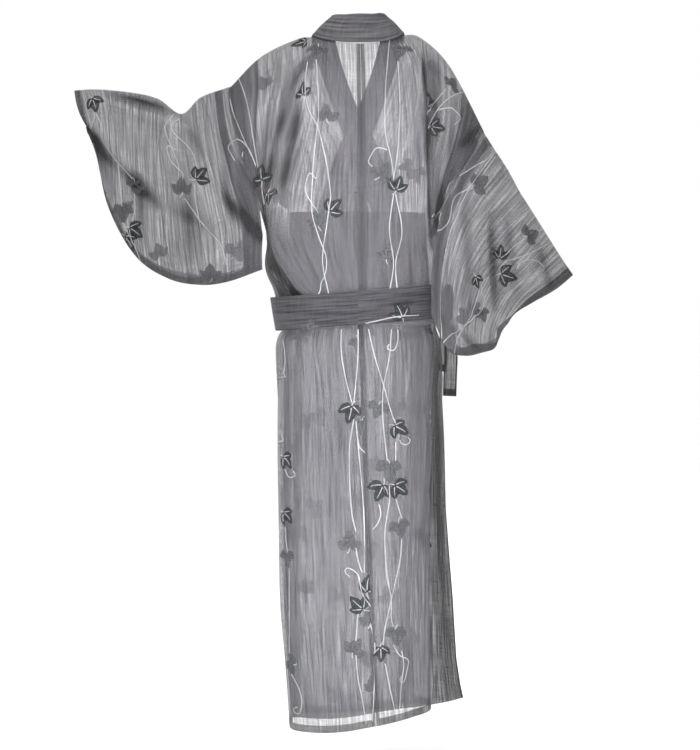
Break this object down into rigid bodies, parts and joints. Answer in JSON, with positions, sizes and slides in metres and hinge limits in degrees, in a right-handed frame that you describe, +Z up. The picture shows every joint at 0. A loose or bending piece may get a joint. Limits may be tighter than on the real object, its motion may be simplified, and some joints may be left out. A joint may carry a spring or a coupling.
{
  "type": "two-piece kimono",
  "caption": "Sheer two-piece summer kimono: a bloused top with wide sleeves over a wrapped skirt, belted, worn with one arm raised and one lowered.",
  "frame": {"origin": "between the shoulders at the foot of the neck, where the wearer's shoulders hold the garment up", "axes": "+Z up, -Y the garment's front, +Y its back, +X the wearer's left"},
  "size_m": [0.9607, 0.246, 1.3712],
  "materials": {
    "sheer": "sheer slub weave in grey, matt, with printed leaves and vines",
    "folded": "the same weave folded double and closer, matt"
  },
  "bodies": {
    "root": {"belt": "folded", "belt_end_long": "folded", "belt_end_short": "folded", "belt_knot": "folded", "skirt_back_left": "sheer", "skirt_back_right": "sheer", "skirt_front_left": "sheer", "skirt_front_right": "sheer", "skirt_overlap_left": "sheer", "skirt_overlap_right": "sheer", "skirt_waistband": "folded", "sleeve_left": "sheer", "sleeve_right": "sheer", "top_body_left": "sheer", "top_body_right": "sheer", "top_collar": "folded", "top_overlap_left": "sheer", "top_overlap_right": "sheer"}
  },
  "joints": []
}
